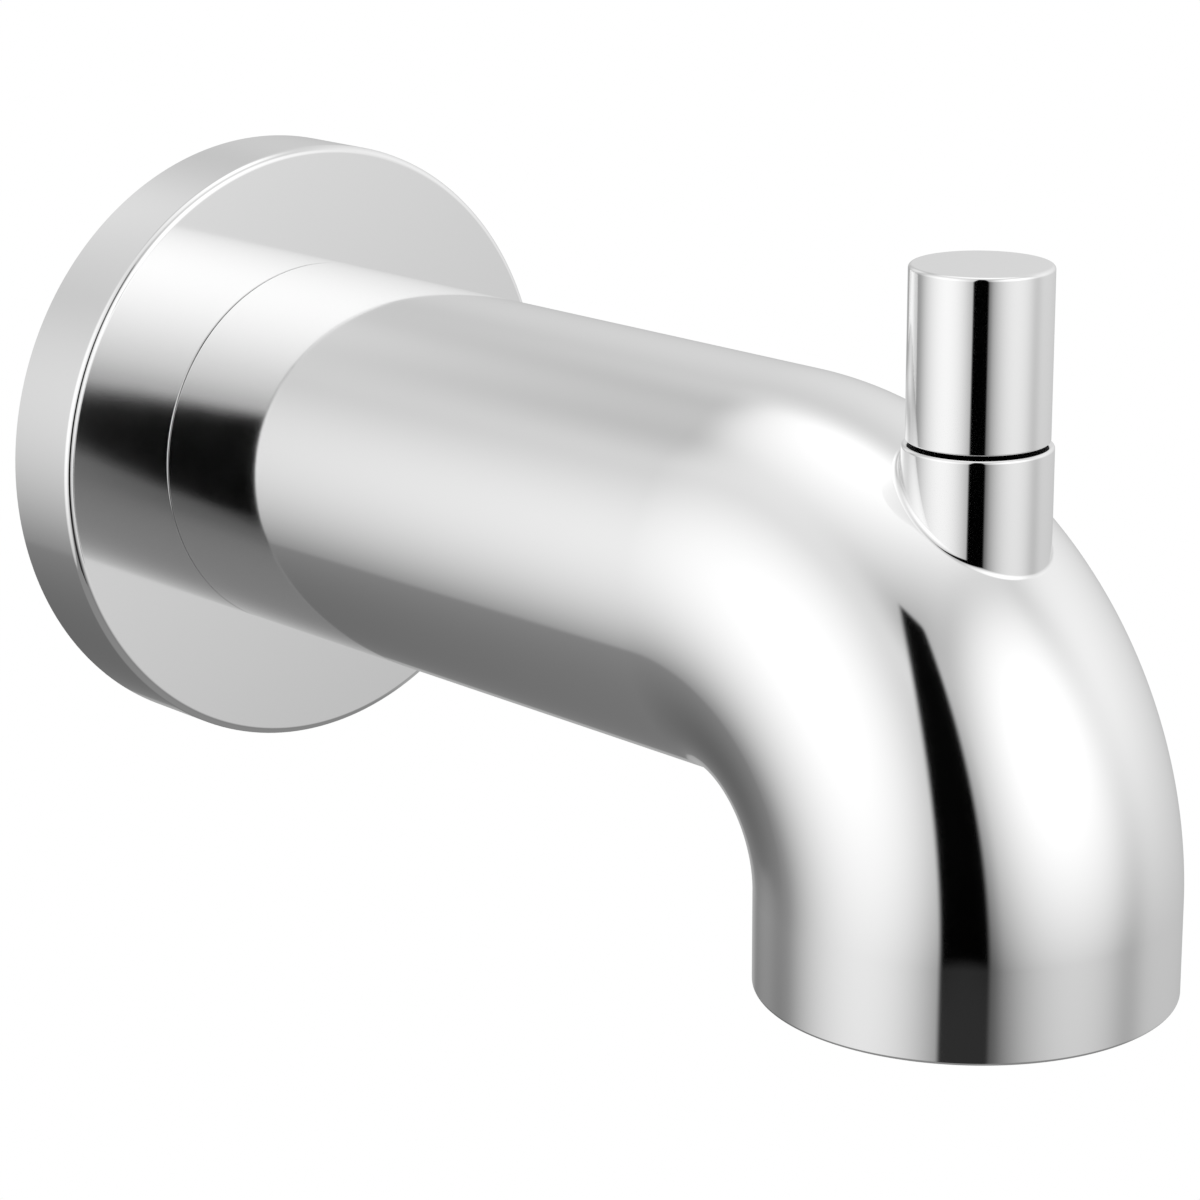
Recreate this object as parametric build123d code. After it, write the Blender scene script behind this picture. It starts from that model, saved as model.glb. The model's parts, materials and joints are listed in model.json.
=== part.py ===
from build123d import *
import os
from math import asin, pi, sqrt, tan

# Wall-mounted bath spout with a lift-up diverter.
# A cast tube leaves the wall, bends down a quarter turn and pours from an open end. Lifting the knob on
# the bend raises a gate over the water's way out, which sends the water up to the shower instead.
# Millimetres. The origin is on the wall, on the tube's axis. The spout points along -Y, and +Z is up.

# Spout tube
TUBE_D = 50.8             # outside diameter, the same from the flange to the outlet
CAST_WALL = 3.6           # wall of the cast tube
REACH = 135.6             # wall to the axis of the outlet
BEND_R = 32.75            # radius of the bend, at the tube's axis
OUTLET_STRAIGHT = 11.44   # straight run below the bend
OUTLET_EDGE_R = 0.4       # round on the outlet's outer edge
OUTLET_CHAMFER = 0.5      # chamfer on the outlet's inner edge
SOCKET_STEP = 0.8         # both ends are bored out by this much, up to a shoulder
SPIGOT_STEP = 1.0         # the tube's end is turned down by this much to carry the flange
SPIGOT_INSET = 1.5        # the tube's end stops this far short of the wall
SEAM_EDGE_R = 0.25        # rounded edge where the tube meets the flange

# Wall flange
FLANGE_D = 83.1
FLANGE_DEPTH = 12.4
FLANGE_PLATE = 3.0
FLANGE_RIM = 4.5
FLANGE_HUB = 3.4
FLANGE_HUB_INSET = 2.0    # the hub stops this far short of the wall
FLANGE_EDGE_R = 1.0
FLANGE_RING_SECTION = 1.9
GASKET_WIDTH = 2.0
GASKET_DEPTH = 1.5

# Diverter knob and the collar that it stands on
COLLAR_D = 17.6
COLLAR_REVEAL = 1.75      # height of the collar above the bend on its wall side
COLLAR_EDGE_R = 0.4
COLLAR_ROOT_R = 0.85      # round where the collar grows out of the bend
BOSS_FLOOR = 3.6          # metal below the stem's seal, inside the bend
KNOB_D = 16.7
KNOB_HEIGHT = 20.4
KNOB_GAP = 0.44           # open gap between the knob and the collar
KNOB_TOP_R = 0.5
KNOB_LOW_R = 0.2
KNOB_FOOT_D = 9.2         # foot under the knob that lands on the bush
LIFT = 12.5               # travel of the diverter

# Stem, its bush and its seal
STEM_D = 5.0
STEM_STUD_D = 4.0
STEM_STUD_LENGTH = 10.0
STEM_SHOULDER = 1.3       # stem above the knob's lower face
STEM_EDGE = 0.4
STOP_D = 8.0              # stop collar on the stem, which ends the lift
STOP_HEIGHT = 2.0
STOP_GAP = 0.2
BUSH_D = 11.0
BUSH_LENGTH = 10.0
BUSH_EDGE = 0.4
STEM_RING_SECTION = 2.0
STEM_HOLE_EASE = 0.3      # radial room round the stem below its seal

# Pipe adapter
PIPE_D = 15.9             # copper stub that the spout slides over
PIPE_EASE = 0.1           # radial room round the pipe
HUB_WALL = 4.5
HUB_INSET = 3.0           # the hub stops this far short of the wall
ADAPTER_SEAT = 48.0       # wall to the shoulder in the tube that the adapter's disc meets
ADAPTER_DISC = 9.0
PIPE_STOP = 4.0           # thickness of the end wall that stops the pipe
PIPE_LEDGE = 1.5          # that end wall reaches this far in from the pipe bore
BORE_CHAMFER = 1.0
PIPE_RING_SECTION = 1.8
PIPE_RING_INSET = 9.0     # end of the pipe to the nearer pipe seal
PIPE_RING_PITCH = 6.0
ADAPTER_RING_SECTION = 2.4

# Set screw under the tube
SCREW_D = 5.0
SCREW_LENGTH = 8.0
SCREW_OFFSET = 7.6        # front of the flange to the screw
SCREW_SETBACK = 0.4       # the screw's tip stops this far outside the pipe bore
SCREW_POINT = 0.5
SCREW_KEY = 2.5           # across the flats of its hexagon socket
SCREW_KEY_DEPTH = 3.0
KEY_HOLE_D = 6.4          # hole in the tube for the key

# Circlips that hold the adapter and the diverter seat
CLIP_THICKNESS = 1.2
CLIP_WIDTH = 2.6
CLIP_BITE = 0.9           # depth of the groove in the tube
CLIP_GAP = 7.0
CLIP_EYE_D = 4.6
CLIP_EYE_HOLE_D = 2.0

# Diverter seat, the moulded insert in the outlet
SEAT_RING_HEIGHT = 6.4
SEAT_RING_WALL = 4.0
SEAT_RING_SECTION = 2.0
SEAT_FLOOR_DROP = 2.6     # the floor lies this far below the top of the ring
SEAT_FLOOR = 2.5
TOWER_WALL = 1.8
TOWER_ROOF = 1.8
TOWER_ROOM = 1.2          # room between the tower and the tube ahead of it
SEAT_WALL = 2.2           # wall that holds the port
PORT_MARGIN = 3.5         # the port is narrower than the tower by this much on each side
RAIL_WIDTH = 2.2
RAIL_LIP = 1.4            # the rails' lips reach this far over the edges of the gate
RAIL_LIP_THICKNESS = 1.8
RAIL_EASE = 0.3

# Gate and its seal
GATE_HEIGHT = 12.4
GATE_PLATE = 2.6
GATE_FLOOR_GAP = 0.4
SEAL_THICKNESS = 1.6
SEAL_RECESS = 0.6
SEAL_MARGIN = 1.0         # rim of the gate round its seal
SEAL_LAP = 1.2            # the seal covers the edge of the port by this much
SEAL_GAP = 0.3            # running room between the seal and the seat
SEAL_EDGE_R = 0.6
GATE_EDGE_R = 1.0
LUG_WIDTH = 2.2
LUG_DEPTH = 3.4
LUG_HEIGHT = 8.0
TANG_THICKNESS = 2.5      # flat at the foot of the stem, between the gate's lugs
TANG_BELOW_PIN = 3.0
TANG_ROOM = 0.4           # the stem is round again this far above the gate
PIN_D = 2.0
PIN_DROP = 5.0            # top of the gate to the pin

# Clearances
SLIP_FIT = 0.1            # radial, for pieces that are pushed together
RUN_FIT = 0.05            # radial, for the pieces that slide or turn
SEAL_EASE = 0.03          # between a seal and the walls that squeeze it
GROOVE_EASE = 0.4         # extra width of a seal's groove
CLIP_EASE = 0.05          # between a circlip and its groove

# Worked-out places
TUBE_R = TUBE_D / 2
CAST_R = TUBE_R - CAST_WALL
SOCKET_R = CAST_R + SOCKET_STEP
SPIGOT_R = TUBE_R - SPIGOT_STEP
FLANGE_R = FLANGE_D / 2
BEND_START = REACH - BEND_R
OUTLET_Z = -BEND_R - OUTLET_STRAIGHT
COLLAR_R = COLLAR_D / 2
COLLAR_TOP = sqrt((BEND_R + TUBE_R) ** 2 - (BEND_R - COLLAR_R) ** 2) - BEND_R + COLLAR_REVEAL
KNOB_LOW = COLLAR_TOP + KNOB_GAP
STEM_R = STEM_D / 2
BUSH_LOW = COLLAR_TOP - BUSH_LENGTH
STEM_RING_LOW = BUSH_LOW - STEM_RING_SECTION - GROOVE_EASE
STEM_RING_R = STEM_R + STEM_RING_SECTION + 2 * SEAL_EASE
BOSS_LOW = STEM_RING_LOW - BOSS_FLOOR
PIPE_BORE_R = PIPE_D / 2 + PIPE_EASE
HUB_R = PIPE_BORE_R + HUB_WALL
PIPE_END = ADAPTER_SEAT - PIPE_STOP
SCREW_STATION = FLANGE_DEPTH + SCREW_OFFSET
SEAT_TOP = -BEND_R
SEAT_RING_LOW = SEAT_TOP - SEAT_RING_HEIGHT
FLOOR_TOP = SEAT_TOP - SEAT_FLOOR_DROP
FLOOR_LOW = FLOOR_TOP - SEAT_FLOOR
GATE_LOW = FLOOR_TOP + GATE_FLOOR_GAP
GATE_TOP = GATE_LOW + GATE_HEIGHT
GATE_BACK = TANG_THICKNESS / 2 + RUN_FIT
GATE_FRONT = GATE_BACK + GATE_PLATE
SEAL_BACK = GATE_FRONT - SEAL_RECESS
SEAL_FRONT = SEAL_BACK + SEAL_THICKNESS
SEAT_FACE = SEAL_FRONT + SEAL_GAP
SEAT_BACK = SEAT_FACE + SEAT_WALL
ROOF_LOW = GATE_TOP - SEAL_MARGIN + LIFT
ROOF_TOP = ROOF_LOW + TOWER_ROOF
TOWER_R = sqrt((BEND_R + CAST_R) ** 2 - (ROOF_TOP + BEND_R) ** 2) - BEND_R - TOWER_ROOM
SHAFT_R = TOWER_R - TOWER_WALL
PORT_HALF = sqrt(SHAFT_R ** 2 - SEAT_BACK ** 2) - PORT_MARGIN
SEAL_HALF = PORT_HALF + SEAL_LAP
GATE_HALF = SEAL_HALF + SEAL_MARGIN
PIN_Z = GATE_TOP - PIN_DROP

TUBE_AXIS = Axis((0, 0, 0), (0, -1, 0))
OUTLET_AXIS = Axis((0, -REACH, 0), (0, 0, 1))
TUBE_PLANE = Plane((0, 0, 0), x_dir=(1, 0, 0), z_dir=(0, 0, -1))            # radius, distance from the wall
OUTLET_PLANE = Plane((0, -REACH, 0), x_dir=(1, 0, 0), z_dir=(0, -1, 0))     # radius, height


def turned(plane, axis, points):
    """Solid turned about an axis from (radius, station) points."""
    return revolve(plane * make_face(Polyline(*points, close=True)), axis)


def on_tube(*points):
    """Solid turned about the tube's axis, from (radius, distance from the wall) points."""
    return turned(TUBE_PLANE, TUBE_AXIS, points)


def on_outlet(*points):
    """Solid turned about the outlet's axis, from (radius, height) points."""
    return turned(OUTLET_PLANE, OUTLET_AXIS, points)


def tube_ring(inner, outer, near, far):
    """Plain ring about the tube's axis, between two distances from the wall."""
    return on_tube((inner, near), (outer, near), (outer, far), (inner, far))


def outlet_ring(inner, outer, low, high):
    """Plain ring about the outlet's axis, between two heights."""
    return on_outlet((inner, low), (outer, low), (outer, high), (inner, high))


def bar(radius, near, far):
    """Round bar on the tube's axis, between two distances from the wall."""
    return extrude(Plane((0, -near, 0), x_dir=(0, 0, -1), z_dir=(0, -1, 0)) * Circle(radius), far - near)


def post(radius, low, high):
    """Round post on the outlet's axis, between two heights."""
    return extrude(Plane((0, -REACH, low)) * Circle(radius), high - low)


def block(half_width, back, front, low, high, centre=0):
    """Block beside the outlet's axis: back and front are measured forward of that axis."""
    place = Location((centre, -REACH - (back + front) / 2, (low + high) / 2))
    return place * Box(2 * half_width, front - back, high - low)


def seal_ring(plane, axis, ring_radius, section, station):
    """Round-section seal: a circle of the section's diameter turned about an axis."""
    return revolve(plane * Pos(ring_radius, station) * Circle(section / 2), axis)


def round_edges(solid, plane, radius, station):
    """Round edges of a solid at one radius and station of its turning plane."""
    found = ShapeList()
    for edge in solid.edges().filter_by(GeomType.CIRCLE):
        centre = plane.to_local_coords(edge.arc_center)
        if abs(edge.radius - radius) < 0.001 and abs(centre.Y - station) < 0.001 and abs(centre.X) < 0.001:
            found.append(edge)
    return found


def circlip(bore_radius):
    """Flat open ring that springs into a groove in a bore, with an eye at each end."""
    outer = bore_radius + CLIP_BITE - CLIP_EASE
    inner = outer - CLIP_WIDTH
    eye_side = (CLIP_GAP + CLIP_EYE_D) / 2
    eye_place = sqrt(inner ** 2 - eye_side ** 2)
    ring = Circle(outer) - Circle(inner)
    ring -= Pos(0, outer) * Rectangle(CLIP_GAP, 2 * (outer - eye_place + CLIP_EYE_D))
    for side in (-1, 1):
        ring += Pos(side * eye_side, eye_place) * Circle(CLIP_EYE_D / 2)
    ring = ring & Circle(outer)
    for side in (-1, 1):
        ring -= Pos(side * eye_side, eye_place) * Circle(CLIP_EYE_HOLE_D / 2)
    return extrude(ring, CLIP_THICKNESS)


def spout_axis_bar(radius, near, low):
    """Round bar along the whole axis of the spout: out from the wall, round the bend and down."""
    run = bar(radius, near, BEND_START)
    turn = Plane((0, -BEND_START, 0), x_dir=(0, 0, -1), z_dir=(0, -1, 0)) * Circle(radius)
    bend = revolve(turn, Axis((0, -BEND_START, -BEND_R), (1, 0, 0)), 90)
    return run + bend + post(radius, low, -BEND_R)


def collar_root():
    """Radius of the round at the collar's foot, no more than fits under its edge on the wall side."""
    slope = asin((BEND_R - COLLAR_R) / (BEND_R + TUBE_R))
    room = (COLLAR_REVEAL - COLLAR_EDGE_R) * tan((pi / 2 - slope) / 2)
    return min(COLLAR_ROOT_R, room)


def spout_body():
    """Cast tube with its bend, the collar for the knob and the bored-out ends."""
    body = spout_axis_bar(TUBE_R, FLANGE_DEPTH, OUTLET_Z)
    body += post(COLLAR_R, BOSS_LOW, COLLAR_TOP)
    collar = [f for f in body.faces().filter_by(GeomType.CYLINDER) if abs(f.radius - COLLAR_R) < 0.001]
    root = [e for f in collar for e in f.edges() if e.geom_type not in (GeomType.CIRCLE, GeomType.LINE)]
    body = fillet(root, collar_root())
    body = fillet(round_edges(body, OUTLET_PLANE, COLLAR_R, COLLAR_TOP), COLLAR_EDGE_R)
    body = fillet(round_edges(body, OUTLET_PLANE, TUBE_R, OUTLET_Z), OUTLET_EDGE_R)
    body = fillet(round_edges(body, TUBE_PLANE, TUBE_R, FLANGE_DEPTH), SEAM_EDGE_R)
    body += bar(SPIGOT_R, SPIGOT_INSET, FLANGE_DEPTH)
    hollow = spout_axis_bar(CAST_R, SPIGOT_INSET, OUTLET_Z) - post(COLLAR_R, BOSS_LOW, COLLAR_TOP)
    body -= hollow
    body -= bar(SOCKET_R, SPIGOT_INSET, ADAPTER_SEAT)
    body -= post(SOCKET_R, OUTLET_Z, SEAT_TOP)
    clip_far = ADAPTER_SEAT - ADAPTER_DISC + CLIP_EASE
    body -= bar(SOCKET_R + CLIP_BITE, clip_far - CLIP_THICKNESS - 2 * CLIP_EASE, clip_far)
    clip_high = SEAT_RING_LOW + CLIP_EASE
    body -= post(SOCKET_R + CLIP_BITE, clip_high - CLIP_THICKNESS - 2 * CLIP_EASE, clip_high)
    body -= post(BUSH_D / 2 + SLIP_FIT, BUSH_LOW, COLLAR_TOP)
    body -= post(STEM_RING_R, STEM_RING_LOW, BUSH_LOW)
    body -= post(STEM_R + STEM_HOLE_EASE, BOSS_LOW, STEM_RING_LOW)
    body -= extrude(Plane((0, -SCREW_STATION, -HUB_R)) * Circle(KEY_HOLE_D / 2), -TUBE_R)
    return chamfer(round_edges(body, OUTLET_PLANE, SOCKET_R, OUTLET_Z), OUTLET_CHAMFER)


def flange_ring_station():
    """Distance from the wall to the seal in the flange's hub, half way along the hub."""
    return (FLANGE_HUB_INSET + FLANGE_DEPTH) / 2


def gasket_radius():
    """Middle radius of the wall gasket, in the middle of the flange's rim."""
    return FLANGE_R - FLANGE_RIM / 2


def wall_flange():
    """Round cup that covers the hole in the wall: a front plate, a rim and a hub on the tube's end."""
    bore = SPIGOT_R + SLIP_FIT
    rim_inner = FLANGE_R - FLANGE_RIM
    plate_back = FLANGE_DEPTH - FLANGE_PLATE
    flange = on_tube(
        (bore, FLANGE_HUB_INSET), (bore + FLANGE_HUB, FLANGE_HUB_INSET), (bore + FLANGE_HUB, plate_back),
        (rim_inner, plate_back), (rim_inner, 0), (FLANGE_R, 0),
        (FLANGE_R, FLANGE_DEPTH), (bore, FLANGE_DEPTH),
    )
    flange = fillet(round_edges(flange, TUBE_PLANE, FLANGE_R, FLANGE_DEPTH), FLANGE_EDGE_R)
    groove = (FLANGE_RING_SECTION + GROOVE_EASE) / 2
    station = flange_ring_station()
    groove_r = SPIGOT_R + FLANGE_RING_SECTION + 2 * SEAL_EASE
    flange -= tube_ring(SPIGOT_R, groove_r, station - groove, station + groove)
    half = GASKET_WIDTH / 2 + SLIP_FIT
    return flange - tube_ring(gasket_radius() - half, gasket_radius() + half, 0, GASKET_DEPTH)


def wall_gasket():
    """Square-section ring in the back of the rim, squeezed flush against the wall."""
    half = GASKET_WIDTH / 2
    return tube_ring(gasket_radius() - half, gasket_radius() + half, 0, GASKET_DEPTH)


def flange_o_ring():
    ring_radius = SPIGOT_R + SEAL_EASE + FLANGE_RING_SECTION / 2
    return seal_ring(TUBE_PLANE, TUBE_AXIS, ring_radius, FLANGE_RING_SECTION, flange_ring_station())


def adapter_ring_depth():
    """Radius of the bottom of the groove for the seal round the adapter's disc."""
    return SOCKET_R - ADAPTER_RING_SECTION - 2 * SEAL_EASE


def pipe_ring_stations():
    """Distances from the wall to the two pipe seals, the one nearer the wall first."""
    front = PIPE_END - PIPE_RING_INSET
    return front - PIPE_RING_PITCH, front


def inlet_adapter():
    """Turned socket for the supply pipe: a hub with the pipe bore, and a disc that seals in the tube."""
    disc_near = ADAPTER_SEAT - ADAPTER_DISC
    disc_r = SOCKET_R - SLIP_FIT
    waterway = PIPE_BORE_R - PIPE_LEDGE
    adapter = on_tube(
        (PIPE_BORE_R + BORE_CHAMFER, HUB_INSET), (HUB_R, HUB_INSET), (HUB_R, disc_near),
        (disc_r, disc_near), (disc_r, ADAPTER_SEAT), (waterway, ADAPTER_SEAT), (waterway, PIPE_END),
        (PIPE_BORE_R, PIPE_END), (PIPE_BORE_R, HUB_INSET + BORE_CHAMFER),
    )
    middle = ADAPTER_SEAT - ADAPTER_DISC / 2
    half = (ADAPTER_RING_SECTION + GROOVE_EASE) / 2
    adapter -= tube_ring(adapter_ring_depth(), SOCKET_R, middle - half, middle + half)
    half = (PIPE_RING_SECTION + GROOVE_EASE) / 2
    groove_r = PIPE_D / 2 + PIPE_RING_SECTION + 2 * SEAL_EASE
    for station in pipe_ring_stations():
        adapter -= tube_ring(waterway, groove_r, station - half, station + half)
    hole = Plane((0, -SCREW_STATION, 0)) * Circle(SCREW_D / 2 + RUN_FIT)
    return adapter - extrude(hole, -2 * HUB_R)


def adapter_o_ring():
    ring_radius = adapter_ring_depth() + SEAL_EASE + ADAPTER_RING_SECTION / 2
    station = ADAPTER_SEAT - ADAPTER_DISC / 2
    return seal_ring(TUBE_PLANE, TUBE_AXIS, ring_radius, ADAPTER_RING_SECTION, station)


def pipe_o_ring(station):
    """Seal round the supply pipe, at the size that the pipe squeezes it to."""
    ring_radius = PIPE_D / 2 + SEAL_EASE + PIPE_RING_SECTION / 2
    return seal_ring(TUBE_PLANE, TUBE_AXIS, ring_radius, PIPE_RING_SECTION, station)


def adapter_circlip():
    """Circlip on the wall side of the adapter's disc, with its eyes at the top."""
    far = ADAPTER_SEAT - ADAPTER_DISC
    return Plane((0, -far + CLIP_THICKNESS, 0), x_dir=(1, 0, 0), z_dir=(0, -1, 0)) * circlip(SOCKET_R)


def set_screw():
    """Headless screw under the pipe bore, with a hexagon socket in its outer end."""
    tip = -PIPE_BORE_R - SCREW_SETBACK
    screw = extrude(Plane((0, -SCREW_STATION, tip)) * Circle(SCREW_D / 2), -SCREW_LENGTH)
    screw = chamfer(screw.edges().sort_by(Axis.Z)[-1], SCREW_POINT)
    socket = Plane((0, -SCREW_STATION, tip - SCREW_LENGTH))
    return screw - extrude(socket * RegularPolygon(SCREW_KEY / sqrt(3), 6), SCREW_KEY_DEPTH)


def stem_bush():
    """Guide for the stem, pressed into the collar."""
    bush = outlet_ring(STEM_R + RUN_FIT, BUSH_D / 2, BUSH_LOW, COLLAR_TOP)
    return chamfer(round_edges(bush, OUTLET_PLANE, BUSH_D / 2, BUSH_LOW), BUSH_EDGE)


def stem_o_ring():
    ring_radius = STEM_R + SEAL_EASE + STEM_RING_SECTION / 2
    height = (STEM_RING_LOW + BUSH_LOW) / 2
    return seal_ring(OUTLET_PLANE, OUTLET_AXIS, ring_radius, STEM_RING_SECTION, height)


def diverter_knob():
    """Solid round knob, drilled from below for the stem."""
    knob = post(KNOB_D / 2, KNOB_LOW, KNOB_LOW + KNOB_HEIGHT)
    knob = fillet(round_edges(knob, OUTLET_PLANE, KNOB_D / 2, KNOB_LOW + KNOB_HEIGHT), KNOB_TOP_R)
    knob = fillet(round_edges(knob, OUTLET_PLANE, KNOB_D / 2, KNOB_LOW), KNOB_LOW_R)
    knob += post(KNOB_FOOT_D / 2, COLLAR_TOP, KNOB_LOW)
    shoulder = KNOB_LOW + STEM_SHOULDER
    knob -= post(STEM_R + RUN_FIT, COLLAR_TOP, shoulder)
    return knob - post(STEM_STUD_D / 2 + RUN_FIT, shoulder, shoulder + STEM_STUD_LENGTH + STEM_EDGE)


def diverter_stem():
    """Turned rod from the knob to the gate, with a stop collar and a flat tang at its foot."""
    shoulder = KNOB_LOW + STEM_SHOULDER
    stem = post(STEM_R, PIN_Z - TANG_BELOW_PIN, shoulder)
    stem += post(STEM_STUD_D / 2, shoulder, shoulder + STEM_STUD_LENGTH)
    stop_top = BOSS_LOW - LIFT - STOP_GAP
    stem += post(STOP_D / 2, stop_top - STOP_HEIGHT, stop_top)
    stud_end = shoulder + STEM_STUD_LENGTH
    stem = chamfer(round_edges(stem, OUTLET_PLANE, STEM_STUD_D / 2, stud_end), STEM_EDGE)
    flat = TANG_THICKNESS / 2
    tang_top = GATE_TOP + TANG_ROOM
    for back, front in ((flat, STEM_D), (-STEM_D, -flat)):
        stem -= block(STEM_D, back, front, PIN_Z - TANG_BELOW_PIN, tang_top)
    return stem - gate_pin_bar(PIN_D / 2 + RUN_FIT)


def gate_pin_bar(radius):
    """Round bar across the outlet's axis, where the pin holds the stem to the gate."""
    half = STEM_R + SLIP_FIT + LUG_WIDTH
    place = Plane((-half, -REACH, PIN_Z), x_dir=(0, 1, 0), z_dir=(1, 0, 0))
    return extrude(place * Circle(radius), 2 * half)


def diverter_gate():
    """Plate that slides up behind the port, with two lugs for the pin and a recess for its seal."""
    gate = block(GATE_HALF, GATE_BACK, GATE_FRONT, GATE_LOW, GATE_TOP)
    gate = fillet(gate.edges().filter_by(Axis.Y), GATE_EDGE_R)
    lug_centre = STEM_R + SLIP_FIT + LUG_WIDTH / 2
    lug_low = GATE_TOP - LUG_HEIGHT
    for side in (-1, 1):
        gate += block(LUG_WIDTH / 2, GATE_BACK - LUG_DEPTH, GATE_BACK, lug_low, GATE_TOP, side * lug_centre)
    gate -= seal_block(GATE_FRONT, SLIP_FIT)
    return gate - gate_pin_bar(PIN_D / 2 + RUN_FIT)


def seal_block(front, ease):
    """Block with the seal's outline, made wider and taller by an ease on each side."""
    low = GATE_LOW + SEAL_MARGIN - ease
    high = GATE_TOP - SEAL_MARGIN + ease
    return block(SEAL_HALF + ease, SEAL_BACK, front, low, high)


def gate_seal():
    """Flat rubber pad on the front of the gate."""
    pad = seal_block(SEAL_FRONT, 0)
    return fillet(pad.edges().filter_by(Axis.Y), SEAL_EDGE_R)


def gate_pin():
    return gate_pin_bar(PIN_D / 2)


def half_round(radius, front, low, high):
    """Upright half-round column: the part of a post that lies ahead of a plane."""
    return post(radius, low, high) - block(radius, -radius, front, low, high)


def diverter_seat():
    """Moulded insert in the outlet: a ring and floor that close it, and a tower with the port."""
    ring_inner = SOCKET_R - SLIP_FIT - SEAT_RING_WALL
    seat = outlet_ring(ring_inner, SOCKET_R - SLIP_FIT, SEAT_RING_LOW, SEAT_TOP)
    middle = (SEAT_RING_LOW + SEAT_TOP) / 2
    half = (SEAT_RING_SECTION + GROOVE_EASE) / 2
    seat -= outlet_ring(seat_ring_depth(), SOCKET_R, middle - half, middle + half)
    seat += post(ring_inner, FLOOR_LOW, FLOOR_TOP)
    seat += half_round(TOWER_R, SEAT_FACE, FLOOR_LOW, ROOF_TOP)
    seat -= half_round(SHAFT_R, SEAT_BACK, SEAT_RING_LOW, ROOF_LOW)
    port_low = GATE_LOW + SEAL_MARGIN + SEAL_LAP + LIFT
    port_high = GATE_TOP - SEAL_MARGIN - SEAL_LAP + LIFT
    seat -= block(PORT_HALF, SEAT_FACE, SEAT_BACK, port_low, port_high)
    lip_back = GATE_BACK - RAIL_EASE - RAIL_LIP_THICKNESS
    rail = GATE_HALF + RAIL_EASE + RAIL_WIDTH / 2
    lip = GATE_HALF + RAIL_EASE - RAIL_LIP / 2
    for side in (-1, 1):
        seat += block(RAIL_WIDTH / 2, lip_back, SEAT_FACE, FLOOR_TOP, ROOF_TOP, side * rail)
        seat += block(RAIL_LIP / 2, lip_back, GATE_BACK - RAIL_EASE, FLOOR_TOP, ROOF_TOP, side * lip)
    return seat


def seat_ring_depth():
    """Radius of the bottom of the groove for the seal round the diverter seat."""
    return SOCKET_R - SEAT_RING_SECTION - 2 * SEAL_EASE


def seat_o_ring():
    ring_radius = seat_ring_depth() + SEAL_EASE + SEAT_RING_SECTION / 2
    height = (SEAT_RING_LOW + SEAT_TOP) / 2
    return seal_ring(OUTLET_PLANE, OUTLET_AXIS, ring_radius, SEAT_RING_SECTION, height)


def outlet_circlip():
    """Circlip below the diverter seat, with its eyes on the wall side."""
    return Location((0, -REACH, SEAT_RING_LOW - CLIP_THICKNESS)) * circlip(SOCKET_R)


PIECES = {
    "spout_body": spout_body(),
    "wall_flange": wall_flange(),
    "wall_gasket": wall_gasket(),
    "flange_o_ring": flange_o_ring(),
    "inlet_adapter": inlet_adapter(),
    "adapter_o_ring": adapter_o_ring(),
    "adapter_circlip": adapter_circlip(),
    "pipe_o_ring_rear": pipe_o_ring(pipe_ring_stations()[0]),
    "pipe_o_ring_front": pipe_o_ring(pipe_ring_stations()[1]),
    "set_screw": set_screw(),
    "stem_bush": stem_bush(),
    "stem_o_ring": stem_o_ring(),
    "diverter_seat": diverter_seat(),
    "seat_o_ring": seat_o_ring(),
    "outlet_circlip": outlet_circlip(),
    "diverter_knob": diverter_knob(),
    "diverter_stem": diverter_stem(),
    "diverter_gate": diverter_gate(),
    "gate_seal": gate_seal(),
    "gate_pin": gate_pin(),
}

os.makedirs("parts", exist_ok=True)
for name, piece in PIECES.items():
    export_step(piece, f"parts/{name}.step")
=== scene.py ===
import json
import math

import bpy
import numpy as np
from mathutils import Matrix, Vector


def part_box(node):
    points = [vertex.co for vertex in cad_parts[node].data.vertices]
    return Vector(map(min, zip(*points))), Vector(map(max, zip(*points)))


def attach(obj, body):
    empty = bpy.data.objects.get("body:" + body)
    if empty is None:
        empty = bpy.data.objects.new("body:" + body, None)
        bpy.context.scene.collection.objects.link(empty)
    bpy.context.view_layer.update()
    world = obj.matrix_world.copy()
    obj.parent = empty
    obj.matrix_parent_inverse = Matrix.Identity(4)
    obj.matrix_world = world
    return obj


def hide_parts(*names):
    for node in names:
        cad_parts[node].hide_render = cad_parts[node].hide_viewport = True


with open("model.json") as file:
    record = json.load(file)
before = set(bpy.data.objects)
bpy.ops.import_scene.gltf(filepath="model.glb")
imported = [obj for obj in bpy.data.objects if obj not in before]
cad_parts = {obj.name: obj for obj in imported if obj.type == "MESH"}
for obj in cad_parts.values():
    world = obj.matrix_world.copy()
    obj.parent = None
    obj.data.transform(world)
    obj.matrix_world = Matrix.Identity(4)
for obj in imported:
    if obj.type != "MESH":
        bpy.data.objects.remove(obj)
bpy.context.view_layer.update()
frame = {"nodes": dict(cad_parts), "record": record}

# Wall-mounted bath spout in polished chrome with a lift-up diverter knob.
# The chromed pieces are worked out here as fine smooth surfaces, because a mirror shows every facet.
# All other pieces keep their solids and get their finish here.
# Sizes are in millimetres unless they say metres.

MM = 0.001                 # metres in a millimetre


def box_mm(node):
    """Lowest and highest corner of a solid, in millimetres."""
    return [np.array(corner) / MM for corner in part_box(node)]


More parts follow.
